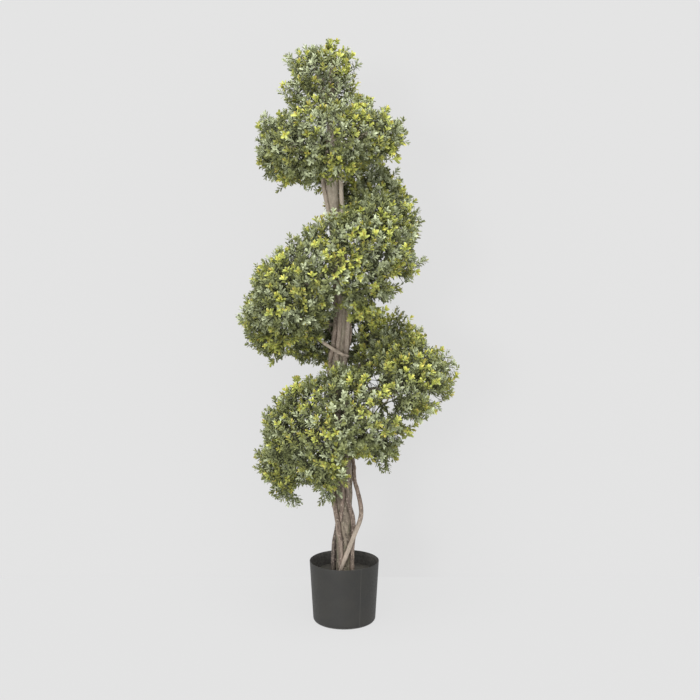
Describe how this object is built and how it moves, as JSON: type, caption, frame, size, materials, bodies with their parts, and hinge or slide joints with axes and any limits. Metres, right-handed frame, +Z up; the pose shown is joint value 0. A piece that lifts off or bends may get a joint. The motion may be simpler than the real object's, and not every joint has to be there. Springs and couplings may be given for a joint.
{
  "type": "artificial spiral topiary",
  "caption": "Artificial boxwood spiral topiary: one band of small-leaved foliage winds up a bundle of natural stems to a blunt crown, set in a plain round nursery pot.",
  "frame": {"origin": "centre of the pot's flat underside", "axes": "+Z up along the pot's axis to the crown, -Y the front, +X to the right seen from the front"},
  "size_m": [0.546, 0.544, 1.524],
  "materials": {
    "pot_plastic": "satin moulded plastic, charcoal",
    "pot_fill": "rough, dark, matt",
    "trunk_bark": "grey-brown bark, matt, greenish patches",
    "stem_bark": "smooth taupe bark, matt",
    "bough_bark": "thin brown bark, matt",
    "foliage": "small leaves, green to yellow-green, soft sheen"
  },
  "bodies": {
    "root": {"back_stem": "stem_bark", "bough_01": "bough_bark", "bough_02": "bough_bark", "bough_03": "bough_bark", "bough_04": "bough_bark", "bough_05": "bough_bark", "bough_06": "bough_bark", "bough_07": "bough_bark", "bough_08": "bough_bark", "bough_09": "bough_bark", "bough_10": "bough_bark", "bough_11": "bough_bark", "bough_12": "bough_bark", "bough_13": "bough_bark", "bough_14": "bough_bark", "bough_15": "bough_bark", "bough_16": "bough_bark", "bough_wrap": "bough_bark", "foliage_01_back_left": "foliage", "foliage_02_front_left": "foliage", "foliage_03_front": "foliage", "foliage_04_right": "foliage", "foliage_05_back_right": "foliage", "foliage_06_back": "foliage", "foliage_07_left": "foliage", "foliage_08_front_left": "foliage", "foliage_09_front_right": "foliage", "foliage_10_right": "foliage", "foliage_11_back": "foliage", "foliage_12_back_left": "foliage", "foliage_13_front_left": "foliage", "foliage_14_front": "foliage", "foliage_15_front_right": "foliage", "foliage_16_back_right": "foliage", "foliage_crown": "foliage", "front_stem": "stem_bark", "left_rear_stem": "stem_bark", "left_stem": "stem_bark", "loop_stem": "stem_bark", "pot": "pot_plastic", "pot_fill": "pot_fill", "right_stem": "stem_bark", "trunk": "trunk_bark"}
  },
  "joints": []
}
